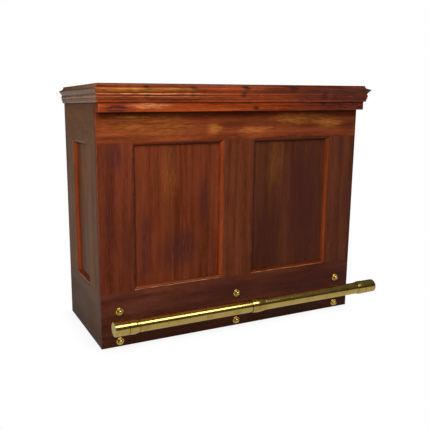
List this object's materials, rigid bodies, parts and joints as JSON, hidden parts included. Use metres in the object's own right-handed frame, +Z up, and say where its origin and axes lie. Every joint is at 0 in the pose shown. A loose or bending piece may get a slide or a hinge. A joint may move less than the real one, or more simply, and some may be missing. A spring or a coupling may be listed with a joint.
{
  "type": "home bar counter",
  "caption": "Free-standing wooden home bar counter with panelled front and sides, moulded crown, open shelves behind and a brass foot rail on brackets in front.",
  "frame": {"origin": "on the floor, under the middle of the overall box, foot rail included", "axes": "+X to the right as the customer faces the front, +Y from the customer's side to the barkeeper's side, +Z up"},
  "size_m": [1.312, 0.6794, 1.067],
  "materials": {
    "front_mahogany": "dark mahogany stain under satin lacquer",
    "side_mahogany": "dark mahogany stain under satin lacquer",
    "panel_veneer": "upright-grain veneer, mahogany stain, satin lacquer",
    "bead_moulding": "orange-brown stain, gloss lacquer",
    "crown_pine": "knotty softwood, red-brown stain, gloss lacquer",
    "bar_top": "dark mahogany stain, gloss lacquer",
    "inner_timber": "thin mahogany stain, satin",
    "batten_softwood": "planed, unfinished",
    "brass": "polished and lacquered",
    "zinc_steel": "bright zinc plate"
  },
  "bodies": {
    "root": {"arm_studs": "zinc_steel", "backing_straps": "zinc_steel", "batten_screws": "zinc_steel", "boss_studs": "zinc_steel", "bracket_roses": "brass", "centre_bearer": "inner_timber", "centre_divider": "inner_timber", "cleat_screws": "zinc_steel", "corner_battens": "batten_softwood", "crown_front": "crown_pine", "crown_left": "crown_pine", "crown_right": "crown_pine", "domed_nuts": "brass", "floor_board": "inner_timber", "floor_cleats": "batten_softwood", "foot_rail_tube": "brass", "frieze_board": "crown_pine", "front_bottom_rail": "front_mahogany", "front_centre_stile": "front_mahogany", "front_left_level_beads": "bead_moulding", "front_left_panel": "panel_veneer", "front_left_stile": "front_mahogany", "front_left_upright_beads": "bead_moulding", "front_right_level_beads": "bead_moulding", "front_right_panel": "panel_veneer", "front_right_stile": "front_mahogany", "front_right_upright_beads": "bead_moulding", "front_top_battens": "batten_softwood", "front_top_rail": "front_mahogany", "grub_screws": "zinc_steel", "left_bottom_rail": "side_mahogany", "left_bracket": "brass", "left_end_cap": "brass", "left_front_stile": "side_mahogany", "left_level_beads": "bead_moulding", "left_panel": "panel_veneer", "left_rear_stile": "side_mahogany", "left_shelf": "inner_timber", "left_top_rail": "side_mahogany", "left_upright_beads": "bead_moulding", "middle_bracket": "brass", "rear_plinth": "inner_timber", "rear_top_rail": "inner_timber", "right_bottom_rail": "side_mahogany", "right_bracket": "brass", "right_end_cap": "brass", "right_front_stile": "side_mahogany", "right_level_beads": "bead_moulding", "right_panel": "panel_veneer", "right_rear_stile": "side_mahogany", "right_shelf": "inner_timber", "right_top_rail": "side_mahogany", "right_upright_beads": "bead_moulding", "shelf_cleats": "batten_softwood", "side_top_battens": "batten_softwood", "strap_nuts": "zinc_steel", "top_board": "bar_top"}
  },
  "joints": []
}
